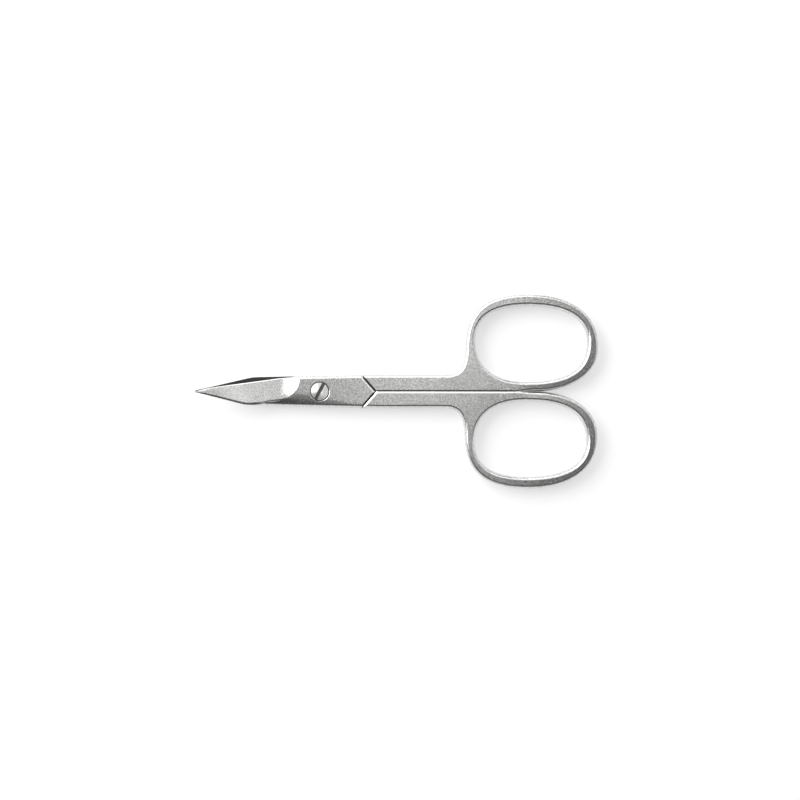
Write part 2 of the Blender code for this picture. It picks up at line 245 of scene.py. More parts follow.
# The loop's faces fall a little outwards: its height shrinks towards the middle by loopLean,
# which fades in as a smooth step along the loop
def leanOutwards(rim, loopStart):
    along = (rim[..., 0] - loopStart) / loopLength
    fade = np.clip((along - forging["leanStartShare"]) / forging["leanRunShare"], 0, 1)
    lean = forging["loopLean"] * fade**2 * (3 - 2 * fade)
    rim[..., 2] = middle + (rim[..., 2] - middle) * (1 - lean)


# The quads between the rings of a grid whose points start at a given index
def ringQuads(shape, first=0):
    index = first + np.arange(shape[0] * shape[1]).reshape(shape)
    ahead = np.roll(index, -1, axis=1)
    return np.stack([index[:-1], ahead[:-1], ahead[1:], index[1:]], axis=-1)


# How the triangles are made: 2 keeps those inside the borders and not in holes, and points this
# near to each other are one
insideBorders, sameWithin = 2, 1e-5


# Triangles, facing up, between an outline and a hole in it. The hole bulges outwards all
# round, so a triangle with all its corners on the hole's ring would fill it, and is left out.
def faceTriangles(outer, hole):
    outerCount, holeCount = len(outer), len(hole)
    flat = np.concatenate([outer, hole])
    borders = [(k, (k + 1) % outerCount) for k in range(outerCount)]
    borders += [(outerCount + k, outerCount + (k + 1) % holeCount) for k in range(holeCount)]
    corners = [Vector(point[:2]) for point in flat]
    filled = delaunay_2d_cdt(corners, borders, [], insideBorders, sameWithin)
    triangles = np.array([[filled[3][corner][0] for corner in face] for face in filled[2]])
    triangles = triangles[(triangles < outerCount).any(axis=1)]
    spread = flat[triangles]
    turn = np.cross(spread[:, 1] - spread[:, 0], spread[:, 2] - spread[:, 0])[:, 2]
    triangles[turn < 0] = triangles[turn < 0][:, ::-1]
    return triangles


# Shank and finger loop: two rounded rims, closed by a flat face above and below. The same
# triangles serve both faces, with their corners moved to each rim's first or last ring.
def handleMesh(name, side, loopStart):
    outer = rimGrid(handleOutline(loopStart))
    leanOutwards(outer, loopStart)
    holeRows = scaledRows(holeShares, loopStart + forging["rimNear"], forging["rimSeam"],
                          forging["holeLength"], forging["holeWidth"])
    hole = rimGrid(closedCurve(holeRows)[::-1])
    outerRings, outerCount = outer.shape[:2]
    holeRings, holeCount = hole.shape[:2]
    holeFirst = outerRings * outerCount
    faces = ringQuads(outer.shape[:2]).reshape(-1, 4).tolist()
    faces += ringQuads(hole.shape[:2], holeFirst).reshape(-1, 4).tolist()
    triangles = faceTriangles(outer[0], hole[0])
    onHole = triangles - outerCount + holeFirst
    upper = np.where(triangles < outerCount, triangles, onHole)
    lower = np.where(triangles < outerCount, triangles + (outerRings - 1) * outerCount,
                     onHole + (holeRings - 1) * holeCount)
    faces += upper.tolist() + lower[:, ::-1].tolist()
    points = np.concatenate([outer.reshape(-1, 3), hole.reshape(-1, 3)])
    return meshFrom(name, turnedOver(points, side), faces)


# The lower of two lines, with the corner between them softened: half of the sum less the root
# of the squared difference and the squared blend
def softLower(first, second):
    return (first + second - np.sqrt((first - second) ** 2 + grind["cornerBlend"] ** 2)) / 2


# Half-width of the lap and blade at x: straight box, then two straight runs that meet in a
# soft corner
def sideAt(x, corner, tip):
    root = (-forging["boxStart"], forging["boxHalfWidth"])
    blade = softLower(lineAt(x, root, corner), lineAt(x, corner, tip))
    return np.where(x < root[0], blade, boxSide(x))


# Grid of one lap and blade: stations from the shank to the tip, and a ring that goes up the
# rounded spine, over the outer face, down the honed edge and back along the hollow inner face.
# The scoop is the square of what is left of the way along it, so the face falls steeply from
# the crescent and runs out level.
def armGrid(shoulder, shoulderWidth):
    steps, count = forging["roundSteps"], grind["facePoints"]
    rise = slice(1, 1 + steps)
    face = slice(1 + steps, 1 + steps + count)
    fall = slice(1 + steps + count, 1 + 2 * steps + count)
    back = slice(2 + 2 * steps + count, None)
    across = (1 - np.cos(np.linspace(0, math.pi, count))) / 2
    share = np.concatenate([np.zeros(1 + steps), across, np.ones(steps + 1), across[-2:0:-1]])

    # The crescent is a quarter of an ellipse from the cutting edge on to the spine
    quarter = 1 - np.sqrt(1 - (1 - share) ** 2)
    crescent = -grind["runoutNear"] - grind["runoutLength"] * quarter
    root = forging["arrowTip"] + forging["arrowRun"]
    boxWay = np.linspace(1, 0, grind["boxStations"])[:, None]
    spread = np.linspace(0, 1, grind["bladeStations"])[1:] ** grind["stationSpread"]
    bladeWay = spread[:, None]
    x = np.concatenate([crescent + (root - crescent) * boxWay,
                        crescent + (-grind["bladeReach"] - crescent) * bladeWay])
    way = np.concatenate([0 * boxWay, bladeWay]) * np.ones_like(x)

    # Seen from above: spine and cutting edge
    belly = (-grind["bladeReach"] + grind["edgeBelly"], grind["edgeBellyWidth"])
    tip = (-grind["bladeReach"], grind["tipWidth"])
    spine = -sideAt(x, (-shoulder, shoulderWidth), tip)
    edge = sideAt(x, belly, (-grind["bladeReach"], 0))
    width = edge - spine

    # The ridge along the spine thins towards the tip, and the rounds and the bevel with it
    scoop = np.clip(1 - way / grind["scoopShare"], 0, 1) ** 2
    farCrescent = grind["runoutNear"] + grind["runoutLength"]
    ground = np.clip((-farCrescent - x) / (grind["bladeReach"] - farCrescent), 0, 1)
    ridge = lapTop + (grind["tipThickness"] - lapTop) * ground
    widest = width * grind["roundLimitShare"]
    spineRound = np.minimum(forging["edgeRound"] * np.sqrt(ridge / lapTop), widest)
    draft = forging["draft"] * scoop
    inset, drop = edgeArc(1)
    honeTop = np.minimum(grind["honeHeight"], ridge * grind["honeLimitShare"])
    wider = forging["edgeRound"] - grind["honeWidth"]
    bevel = np.minimum(grind["honeWidth"] + wider * scoop, widest)
    edgeFlat = honeTop + (lapTop - honeTop) * scoop
    thin = grind["edgeThickness"]
    roundFoot = lapTop - forging["edgeRound"] * drop[-1]
    wall = thin + (roundFoot - thin) * scoop + lapBottom * (1 - scoop)

    # Polishing has let the face fall a little towards its lower left corner
    y = spine + width * share
    corner = np.clip(-y - grind["rollLean"] * x - grind["rollStart"], 0, None)
    roll = grind["rollRate"] / 2 * corner**2 * scoop

    # Heights round the ring: spine's round, outer face, bevel or round, hollow inner face
    height = np.full_like(x, lapBottom)
    y[:, rise] = (spine + draft)[:, rise] + spineRound[:, rise] * inset[:0:-1]
    eased = spineRound * (1 - grind["spineEase"] * (1 - scoop))
    height[:, rise] = ridge[:, rise] - eased[:, rise] * drop[:0:-1] - roll[:, rise]
    room = width - spineRound - bevel - 2 * draft
    y[:, face] = (spine + draft + spineRound)[:, face] + across * room[:, face]
    plain = ridge + (honeTop - ridge) * share
    height[:, face] = (plain + (lapTop - plain) * scoop - roll)[:, face]
    t = np.arange(1, steps + 1) / steps
    outwards = t + (1 - inset[1:] - t) * scoop[:, fall]
    downwards = t + (drop[1:] / drop[-1] - t) * scoop[:, fall]
    y[:, fall] = (edge - draft)[:, fall] - bevel[:, fall] * (1 - outwards)
    height[:, fall] = edgeFlat[:, fall] - (edgeFlat - wall)[:, fall] * downwards
    hollow = grind["hollowDepth"] * np.sin(math.pi * share)
    hollow = hollow * np.clip(way / grind["scoopShare"], 0, 1) * (1 - way)
    height[:, back] += hollow[:, back]
    return x, y, height, face, fall, back


# The blades curve up as a bowl round the pivot: rise = (distance - bendStart)^2 / (2 bendRadius).
# The inner face and the tip's blunt end take the joint steel, painted dark as shade.
def armMesh(name, side, shoulder, shoulderWidth):
    x, y, height, face, fall, back = armGrid(shoulder, shoulderWidth)
    beyond = np.maximum(np.hypot(x, y) - grind["bendStart"], 0)
    rise = np.where(x < 0, beyond**2 / (2 * grind["bendRadius"]), 0)
    points = np.stack([x, side * y, middle + side * height + rise], axis=-1).reshape(-1, 3)
    quads = ringQuads(x.shape)
    slots = np.full(quads.shape[:2], blastedSlot, dtype=np.int32)
    slots[:, back.start - 1:] = jointPaintedShadeSlot
    onBlade = slice(grind["boxStations"] - 1, None)
    slots[onBlade, face.start:face.stop - 1] = groundSlot
    slots[onBlade, fall.start - 1:fall.stop - 1] = honedSlot
    firstRing = list(range(x.shape[1]))
    lastRing = list(range(x.size - x.shape[1], x.size))
    faces = quads.reshape(-1, 4).tolist() + [firstRing[::-1], lastRing]
    return meshFrom(name, points, faces, [*slots.ravel(), blastedSlot, jointPaintedShadeSlot])


# A block over a flat outline, from low to high. The outline is turned counterclockwise first,
# where its area by the shoelace formula is negative.
def prismMesh(outline, low, high):
    outline = np.asarray(outline, dtype=float)
    count = len(outline)
    following = np.roll(outline, -1, axis=0)
    area = (outline[:, 0] * following[:, 1] - outline[:, 1] * following[:, 0]).sum()
    if area < 0:
        outline = outline[::-1]
    ends = [np.column_stack([outline, np.full(count, z)]) for z in (low, high)]
    base = np.arange(count)
    ahead = np.roll(base, -1)
    sides = np.stack([base, ahead, ahead + count, base + count], axis=1).tolist()
    return np.concatenate(ends), sides + [base[::-1].tolist(), (base + count).tolist()]


# A V groove's cutter between two points: a three-sided bar with its edge down at the groove's
# bottom. leftWidth and rightWidth are the flanks' widths as seen going from start to end.
def grooveBar(start, end, depth, leftWidth, rightWidth):
    start, end = np.array(start, dtype=float), np.array(end, dtype=float)
    ahead = (end - start) / np.linalg.norm(end - start)
    left = np.array([-ahead[1], ahead[0]])
    above = 1 + overrun / depth
    corners = ((leftWidth * above, overrun), (0, -depth), (-rightWidth * above, overrun))
    ends = [[(*(place + left * across), up) for across, up in corners] for place in (start, end)]
    points = np.array(ends).reshape(-1, 3) + (0, 0, forging["thickness"])
    faces = [[0, 1, 2], [3, 5, 4], [0, 3, 4, 1], [1, 4, 5, 2], [2, 5, 3, 0]]
    return points, faces


# A profile of radius and height, top to bottom, turned about the pivot's axis
def turnedMesh(profile, steps):
    profile = np.array(profile, dtype=float)
    inner = profile[1:-1]
    angle = np.arange(steps) / steps * 2 * math.pi
    radius, height = inner[:, 0, None], inner[:, 1, None]
    ring = np.stack([radius * np.cos(angle), radius * np.sin(angle),
                     np.broadcast_to(height, (len(inner), steps))], axis=-1)
    points = np.concatenate([ring.reshape(-1, 3), [(0, 0, profile[0, 1]), (0, 0, profile[-1, 1])]])
    index = np.arange(len(inner) * steps).reshape(len(inner), steps)
    ahead = np.roll(index, -1, axis=1)
    quads = np.stack([index[:-1], index[1:], ahead[1:], ahead[:-1]], axis=-1)
    faces = quads.reshape(-1, 4).tolist()
    top, bottom = len(points) - 2, len(points) - 1
    faces += np.stack([index[0], ahead[0], np.full(steps, top)], axis=1).tolist()
    faces += np.stack([ahead[-1], index[-1], np.full(steps, bottom)], axis=1).tolist()
    return points, faces


# One exact Boolean step on two meshes; the faces of both keep their slots
def carve(mesh, operation, otherMesh):
    base, other = addObject("base", mesh), addObject("other", otherMesh)
    step = base.modifiers.new("carve", "BOOLEAN")
    step.operation, step.solver, step.object = operation, "EXACT", other
    depsgraph = bpy.context.evaluated_depsgraph_get()
    result = bpy.data.meshes.new_from_object(base.evaluated_get(depsgraph))
    for thing in (base, other):
        bpy.data.objects.remove(thing, do_unlink=True)
    return result


weldReach = 0.00001  # points nearer than this are one point


# Merges the points that the Boolean steps leave on one spot, with the empty faces between them
def weld(mesh):
    work = bmesh.new()
    work.from_mesh(mesh)
    bmesh.ops.remove_doubles(work, verts=work.verts, dist=weldReach)
    work.to_mesh(mesh)
    work.free()


# One attribute of all the items of a mesh, as an array with a row for each item
def readAll(items, attribute, parts, kind=float):
    values = np.empty(len(items) * parts, dtype=kind)
    items.foreach_get(attribute, values)
    return values.reshape(-1, parts)


# How flats and rounds are told apart: the crease that stays sharp, how upright the normal of a
# level face is on the handle and on the arm, and how far a round may tilt beside a flat
shading = {"sharpDegrees": 14, "handleUpright": 0.995, "armUpright": 0.9995, "easeDegrees": 16}


# Smooth shading with sharp corners kept. Corners of a round that meet a level face take the
# level face's normal, so that flat and round run into each other without a crease.
def shade(mesh):
    mesh.shade_smooth()
    mesh.set_sharp_from_angle(angle=math.radians(shading["sharpDegrees"]))
    upright = readAll(mesh.polygons, "normal", 3)[:, 2]
    onHandle = readAll(mesh.polygons, "center", 3)[:, 0] > forging["arrowTip"] + overrun
    least = np.where(onHandle, shading["handleUpright"], shading["armUpright"])
    level = np.abs(upright) > least
    mesh.polygons.foreach_set("use_smooth", ~level)
    total = readAll(mesh.polygons, "loop_total", 1, np.int32)[:, 0]
    corners = readAll(mesh.loops, "vertex_index", 1, np.int32)[:, 0]
    normal = readAll(mesh.corner_normals, "vector", 3)
    ofFace = np.repeat(np.arange(len(total)), total)
    levelPoint = np.zeros(len(mesh.vertices))
    onLevel = level[ofFace]
    levelPoint[corners[onLevel]] = np.sign(upright[ofFace[onLevel]])
    up = levelPoint[corners]
    gentle = upright[ofFace] * up > math.cos(math.radians(shading["easeDegrees"]))
    eased = (~onLevel) & (up != 0) & gentle
    normal[eased] = np.stack([0 * up, 0 * up, up], axis=1)[eased]
    mesh.normals_split_custom_set(normal.tolist())


# Puts a finished mesh in its place in the frame, in metres, hides the CAD part that it takes the
# place of and hangs it on its body. Slots that the piece has no use for go.
def placePiece(name, mesh, node, body, materials):
    mesh.transform(Matrix.Translation((pivotX, 0, 0)) @ Matrix.Scale(mm, 4))
    for spare in range(len(mesh.materials) - len(materials)):
        mesh.materials.pop()
    for place, material in enumerate(materials):
        mesh.materials[place] = material
    piece = addObject(name, mesh)
    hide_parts(node)
    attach(piece, body)
    return piece


# Grooves of each half: depth and the widths of the flanks
grooves = {
    "arrow": {"depth": 0.48, "lapFlank": 0.74, "shankFlank": 0.15},
    "arrowEnd": {"depth": 0.45, "flank": 0.45},
    "arrowBack": {"depth": 0.25, "flank": 0.36},
    "seamUpper": {"depth": 0.11, "flank": 0.34},
    "seamLower": {"depth": 0.21, "flank": 0.38},
    "seamEndShare": 0.62,  # of the loop's length
}

# Slotted screw: a shallow dome with a broken edge, a plain shank and a spread end at the back
screw = {
    "headRadius": 1.98, "headDepth": 0.7, "crown": 0.20, "edge": 0.12,
    "slotWidth": 0.75, "slotDepth": 0.4, "slotAngle": 63, "slotReach": 3,
    "slotLip": 0.05, "lipDropShare": 0.15,  # of the crown
    "shankRadius": 1.3, "rivetRadius": 1.65, "rivetDepth": 0.3,
    "domeSteps": 14, "edgeSteps": 9, "steps": 128,
}

# The holes that the screw sits in
pivotHole = {
    "headGap": 0.2, "mouthChamfer": 0.15, "runningGap": 0.05, "rivetGap": 0.1, "steps": 96,
}


# The handle, cut back along the arrow below the lap, then joined to the lap and blade. The cut
# starts well inside the box and ends inside the lap's thickness.
def joinedHalf(name, side, values):
    wing = forging["shankWidth"] + overrun
    far = forging["arrowTip"] - forging["arrowRun"] - 4 * overrun
    outline = ((far, -wing), (arrowSide(-wing), -wing), (arrowSide(wing), wing), (far, wing))
    points, faces = prismMesh(outline, -overrun, middle + 3 * forging["lapGap"])
    handle = handleMesh("handle", side, values["loopStart"])
    handle = carve(handle, "DIFFERENCE", meshFrom("other", turnedOver(points, side), faces))
    arm = armMesh(name, side, values["shoulder"], values["shoulderWidth"])
    return carve(arm, "UNION", handle)


# Room for the other half's handle, past the arrow's far side and across the seam. Its cut faces,
# where the halves meet, take the joint steel's painted shade.
def roomCutter(side, loopStart):
    reach = loopStart + loopLength + 2 * overrun
    pointX = forging["arrowTip"] - arrowGap - forging["seamGap"] / 2 * arrowSlope
    deep, near = loopWidth + overrun, forging["seamGap"] / 2
    lowerX = pointX - (deep + near) * arrowSlope
    outline = ((pointX, near), (reach, near), (reach, -deep), (lowerX, -deep))
    points, faces = prismMesh(outline, -overrun, forging["thickness"] + overrun)
    return meshFrom("other", turnedOver(points, side), faces, [jointPaintedShadeSlot] * len(faces))


# V grooves along the arrow on the face and on the back, and along the seam on both; on the face,
# one flank of each groove along the arrow takes the joint steel as painted shade in the crease
def grooveCutters(side, values):
    wing = forging["shankWidth"] + overrun
    tip = (forging["arrowTip"], 0)
    wingX = forging["arrowTip"] - wing * arrowSlope
    upper, lower = (wingX, wing), (wingX, -wing)
    seamEnd = (values["loopStart"] + loopLength * grooves["seamEndShare"], 0)
    arrow, arrowEnd, arrowBack = grooves["arrow"], grooves["arrowEnd"], grooves["arrowBack"]
    seam = grooves[values["seam"]]
    bars = (
        (upper, arrow["depth"], arrow["lapFlank"], arrow["shankFlank"], side, jointPaintedShadeSlot),
        (lower, arrowEnd["depth"], arrowEnd["flank"], arrowEnd["flank"], side, jointPaintedShadeSlot),
        (lower, arrowBack["depth"], arrowBack["flank"], arrowBack["flank"], -side, blastedSlot),
        (seamEnd, seam["depth"], seam["flank"], seam["flank"], 1, blastedSlot),
        (seamEnd, seam["depth"], seam["flank"], seam["flank"], -1, blastedSlot),
    )
    for end, depth, left, right, turn, slot in bars:
        points, faces = grooveBar(tip, end, depth, left, right)
        slots = [blastedSlot, blastedSlot, blastedSlot, slot, blastedSlot]
        yield meshFrom("other", turnedOver(points, turn), faces, slots)


# The pivot's hole: a counterbore for the head with a chamfered mouth in the front half, and a
# hole that widens at the back in the rear half. The chamfer's ring of faces keeps the blasted
# steel; the rest of the hole takes the joint steel as painted shade, so the ring round the head
# looks dark.
def holeCutter(side):
    hole = screw["shankRadius"] + pivotHole["runningGap"]
    if side > 0:
        top = middle + lapTop
        mouth = screw["headRadius"] + pivotHole["headGap"]
        chamfer = pivotHole["mouthChamfer"]
        floor = top - screw["headDepth"] - pivotHole["runningGap"]
        profile = ((0, top + overrun), (mouth + chamfer + overrun, top + overrun),
                   (mouth, top - chamfer), (mouth, floor), (hole, floor),
                   (hole, middle - overrun), (0, middle - overrun))
        chamferFaces = pivotHole["steps"]
    else:
        bottom = forging["faceStep"]
        spread = screw["rivetRadius"] + pivotHole["rivetGap"]
        lean = (spread - hole) / screw["rivetDepth"]
        profile = ((0, middle + overrun), (hole, middle + overrun),
                   (hole, bottom + screw["rivetDepth"]),
                   (spread + lean * overrun, bottom - overrun), (0, bottom - overrun))
        chamferFaces = 0
    points, faces = turnedMesh(profile, pivotHole["steps"])
    slots = [blastedSlot] * chamferFaces + [jointPaintedShadeSlot] * (len(faces) - chamferFaces)
    return meshFrom("other", points, faces, slots)


# One half, side 1 for the front and -1 for the rear: joined, then cut step by step
def halfMesh(name, side, values):
    mesh = joinedHalf(name, side, values)
    mesh = carve(mesh, "DIFFERENCE", roomCutter(side, values["loopStart"]))
    for cutter in grooveCutters(side, values):
        mesh = carve(mesh, "DIFFERENCE", cutter)
    mesh = carve(mesh, "DIFFERENCE", holeCutter(side))
    weld(mesh)
    shade(mesh)
    return mesh


# The screw turned from its profile: the crown falls with the square of the radius, and the
# head's edge is a quarter circle
def screwMesh():
    top = middle + lapTop
    under, bottom = top - screw["headDepth"], forging["faceStep"] * 2
    flat = screw["headRadius"] - screw["edge"]
    share = np.linspace(0, 1, screw["domeSteps"] + 1)
    dome = np.column_stack([flat * share, top - screw["crown"] * share**2])
    angle = np.arange(1, screw["edgeSteps"] + 1) / screw["edgeSteps"] * math.pi / 2
    lip = np.column_stack([flat + screw["edge"] * np.sin(angle),
                           top - screw["crown"] - screw["edge"] * (1 - np.cos(angle))])
    shaft = ((screw["headRadius"], under), (screw["shankRadius"], under),
             (screw["shankRadius"], bottom + screw["rivetDepth"]),
             (screw["rivetRadius"], bottom), (0, bottom))
    points, faces = turnedMesh(np.concatenate([dome, lip, shaft]), screw["steps"])
    mesh = carve(meshFrom("screw", points, faces), "DIFFERENCE", slotCutter(top))
    shade(mesh)
    return mesh


# The slot's cutter: a straight-sided bar that widens at the top for small sloping lips. Its
# section is drawn across the slot and up from the head's top, then laid at the slot's angle.
def slotCutter(top):
    half, lip, depth = screw["slotWidth"] / 2, screw["slotLip"], screw["slotDepth"]
    lipTop = top - screw["crown"] * screw["lipDropShare"]
    low, high, out = lipTop - top - lip, lipTop - top + overrun, half + lip + overrun
    section = ((half, -depth), (half, low), (out, high), (-out, high), (-half, low),
               (-half, -depth))
    points, faces = prismMesh(section, -screw["slotReach"], screw["slotReach"])
    turn = math.radians(screw["slotAngle"])
    along = np.array([math.cos(turn), math.sin(turn)])
    acrossWay = np.array([-math.sin(turn), math.cos(turn)])
    flat = points[:, 2:3] * along + points[:, 0:1] * acrossWay
    # The slot's walls and floor take the joint steel as painted shade; its sloping lips stay turned
    # steel
    walls = [screwPaintedShadeSlot, turnedSlot, turnedSlot, turnedSlot, screwPaintedShadeSlot, screwPaintedShadeSlot]
    slots = walls + [turnedSlot, turnedSlot]
    return meshFrom("other", np.column_stack([flat, top + points[:, 1]]), faces, slots)


# A colour's hex text in sRGB, as linear red, green, blue and alpha
def linearColour(hexText):
    parts = np.array([int(hexText[k:k + 2], 16) for k in (1, 3, 5)]) / 255
    linear = np.where(parts <= 0.04045, parts / 12.92, ((parts + 0.055) / 1.055) ** 2.4)
    return (*linear.tolist(), 1)


# Adds a node with its settings; a socket's value is a number or colour, or the socket that feeds it
def addNode(tree, kind, sockets=None, **settings):
    node = tree.nodes.new(kind)
    for key, value in settings.items():
        setattr(node, key, value)
    for key, value in (sockets or {}).items():
        if isinstance(value, bpy.types.NodeSocket):
            tree.links.new(value, node.inputs[key])
        else:
            node.inputs[key].default_value = value
    return node


# What every steel's noises share: detail and mix of each, the middle of a noise's range that
# counts, and how upright the normal is where a rubbed edge turns into the flat
steelNoise = {
    "grainDetail": 3, "grainMix": 0.6, "cloudDetail": 2, "cloudMix": 0.5,
    "low": 0.3, "high": 0.7, "pitLow": 0.35, "pitHigh": 0.65,
    "edgeUpright": 0.985, "flatUpright": 0.999,
}


# Steel with a grain of small dents, a slow waviness and roughness that varies with both. Where
# the surface turns away from level it has been rubbed in tumbling, so edges are smoother than
# the flats. Sizes and depths are in millimetres.
def steelMaterial(name, values):
    material = bpy.data.materials.new(name)
    material.use_nodes = True
    tree = material.node_tree
    shader = tree.nodes["Principled BSDF"]
    shader.inputs["Base Color"].default_value = linearColour(values["colour"])
    shader.inputs["Metallic"].default_value = 1
    low, high = steelNoise["low"], steelNoise["high"]
    upright = {"From Min": steelNoise["edgeUpright"], "From Max": steelNoise["flatUpright"]}
    place = addNode(tree, "ShaderNodeTexCoord")
    grain = addNode(tree, "ShaderNodeTexNoise", {
        "Vector": place.outputs["Object"], "Scale": 1 / (values["grainSize"] * mm),
        "Detail": steelNoise["grainDetail"], "Roughness": steelNoise["grainMix"]})
    cloud = addNode(tree, "ShaderNodeTexNoise", {
        "Vector": place.outputs["Object"], "Scale": 1 / (values["cloudSize"] * mm),
        "Detail": steelNoise["cloudDetail"], "Roughness": steelNoise["cloudMix"]})

    # Roughness: the edge's or the flat's, with specks and patches
    speck = addNode(tree, "ShaderNodeMapRange", {
        "Value": grain.outputs["Fac"], "From Min": low, "From Max": high,
        "To Min": -values["grainRoughness"], "To Max": values["grainRoughness"]})
    patch = addNode(tree, "ShaderNodeMapRange", {
        "Value": cloud.outputs["Fac"], "From Min": low, "From Max": high,
        "To Min": -values["cloudRoughness"], "To Max": values["cloudRoughness"]})
    tilt = addNode(tree, "ShaderNodeSeparateXYZ", {"Vector": place.outputs["Normal"]})
    level = addNode(tree, "ShaderNodeMath", {0: tilt.outputs["Z"]}, operation="ABSOLUTE")
    base = addNode(tree, "ShaderNodeMapRange", {
        "Value": level.outputs[0], **upright,
        "To Min": values["edgeRoughness"], "To Max": values["roughness"]})
    first = addNode(tree, "ShaderNodeMath", {0: base.outputs[0], 1: speck.outputs[0]},
                    operation="ADD")
    second = addNode(tree, "ShaderNodeMath", {0: first.outputs[0], 1: patch.outputs[0]},
                     operation="ADD")
    tree.links.new(second.outputs[0], shader.inputs["Roughness"])

    # Colour: the edge's or the flat's, darker in the grain's pits
    polish = addNode(tree, "ShaderNodeMapRange", {"Value": level.outputs[0], **upright})
    tone = addNode(tree, "ShaderNodeMix", {"Factor": polish.outputs[0]}, data_type="RGBA")
    tone.inputs["A"].default_value = linearColour(values["edgeColour"])
    tone.inputs["B"].default_value = linearColour(values["colour"])
    pits = addNode(tree, "ShaderNodeMapRange", {
        "Value": grain.outputs["Fac"],
        "From Min": steelNoise["pitLow"], "From Max": steelNoise["pitHigh"],
        "To Min": 1 - values["grainTone"], "To Max": 1 + values["grainTone"]})
    shaded = addNode(tree, "ShaderNodeVectorMath", {0: tone.outputs["Result"], 1: pits.outputs[0]},
                     operation="MULTIPLY")
    tree.links.new(shaded.outputs[0], shader.inputs["Base Color"])

    # Relief: slow waves, then dents
    wave = addNode(tree, "ShaderNodeBump", {
        "Height": cloud.outputs["Fac"], "Strength": 1, "Distance": values["cloudDepth"] * mm})
    dent = addNode(tree, "ShaderNodeBump", {
        "Height": grain.outputs["Fac"], "Strength": 1, "Distance": values["grainDepth"] * mm,
        "Normal": wave.outputs["Normal"]})
    tree.links.new(dent.outputs["Normal"], shader.inputs["Normal"])
    return material


# Stainless steel blasted with fine glass beads, then tumbled: an even mid-grey sheen with a
# fine sparkle, brighter and smoother where edges have been rubbed
blastedSteel = steelMaterial("blastedSteel", {
    "colour": "#B6B6B5", "edgeColour": "#D7D7D6", "roughness": 0.24, "edgeRoughness": 0.20,
    "grainSize": 0.33, "grainDepth": 0.006, "grainTone": 0.27, "grainRoughness": 0.03,
    "cloudSize": 6.0, "cloudDepth": 0.02, "cloudRoughness": 0.015})

# The same steel ground on a fine wheel before blasting: a little smoother, so the blades look
# brighter
groundSteel = steelMaterial("groundSteel", {
    "colour": "#BCBCBB", "edgeColour": "#BCBCBB", "roughness": 0.26, "edgeRoughness": 0.26,
    "grainSize": 0.32, "grainDepth": 0.007, "grainTone": 0.22, "grainRoughness": 0.03,
    "cloudSize": 4.0, "cloudDepth": 0.01, "cloudRoughness": 0.015})

# The cutting edge, honed on a stone: nearly a mirror, with the faintest of scratches
honedSteel = steelMaterial("honedSteel", {
    "colour": "#CECECE", "edgeColour": "#CECECE", "roughness": 0.16, "edgeRoughness": 0.16,
    "grainSize": 0.12, "grainDepth": 0.001, "grainTone": 0.03, "grainRoughness": 0.03,
    "cloudSize": 2.0, "cloudDepth": 0.001, "cloudRoughness": 0.02})

# Inside the joint, in grooves, in the pivot's hole and in the screw's slot: ground but never
# polished, with a colour far darker than steel as painted shade, so that the cracks between the
# halves look dark
jointPaintedShadeSteel = steelMaterial("jointPaintedShadeSteel", {
    "colour": "#5E5E5C", "edgeColour": "#5E5E5C", "roughness": 0.36, "edgeRoughness": 0.36,
    "grainSize": 0.25, "grainDepth": 0.004, "grainTone": 0.12, "grainRoughness": 0.04,
    "cloudSize": 3.0, "cloudDepth": 0.004, "cloudRoughness": 0.03})

# The screw, turned on a lathe and then polished: the fine turning marks run round the axis, so
# highlights stretch outwards from it
turnedSteel = steelMaterial("turnedSteel", {
    "colour": "#E6E6E5", "edgeColour": "#E6E6E5", "roughness": 0.34, "edgeRoughness": 0.34,
    "grainSize": 0.2, "grainDepth": 0.0015, "grainTone": 0.04, "grainRoughness": 0.03,
    "cloudSize": 1.5, "cloudDepth": 0.004, "cloudRoughness": 0.03})
turningStretch = 0.9


# Turning marks: the stretch points away from the pivot's axis, level
def addTurning(material, amount):
    tree = material.node_tree
    shader = tree.nodes["Principled BSDF"]
    place = addNode(tree, "ShaderNodeTexCoord")
    offset = addNode(tree, "ShaderNodeVectorMath", {0: place.outputs["Object"], 1: (pivotX, 0, 0)},
                     operation="SUBTRACT")
    level = addNode(tree, "ShaderNodeVectorMath", {0: offset.outputs[0], 1: (1, 1, 0)},
                    operation="MULTIPLY")
    world = addNode(tree, "ShaderNodeVectorTransform", {"Vector": level.outputs[0]},
                    vector_type="VECTOR", convert_from="OBJECT", convert_to="WORLD")
    shader.inputs["Anisotropic"].default_value = amount
    tree.links.new(world.outputs[0], shader.inputs["Tangent"])


addTurning(turnedSteel, turningStretch)
print("materials made")

# What differs between the halves: the corner in the blade's spine, the loop's place and the seam
frontValues = {"shoulder": 16.6, "shoulderWidth": 3.05, "loopStart": 32.6, "seam": "seamUpper"}
rearValues = {"shoulder": 15.1, "shoulderWidth": 3.20, "loopStart": 32.4, "seam": "seamLower"}
# The last steel of each list is the joint steel, painted dark as shade
steels = [blastedSteel, groundSteel, honedSteel, jointPaintedShadeSteel]
screwSteels = [turnedSteel, jointPaintedShadeSteel]
frontHalf = halfMesh("front", 1, frontValues)
placePiece("frontHalfForged", frontHalf, "front_half", "front", steels)
print("front half made")
rearHalf = halfMesh("rear", -1, rearValues)
placePiece("rearHalfForged", rearHalf, "rear_half", "rear", steels)
print("rear half made")
placePiece("pivotScrewTurned", screwMesh(), "pivot_screw", "rear", screwSteels)
print("screw made")

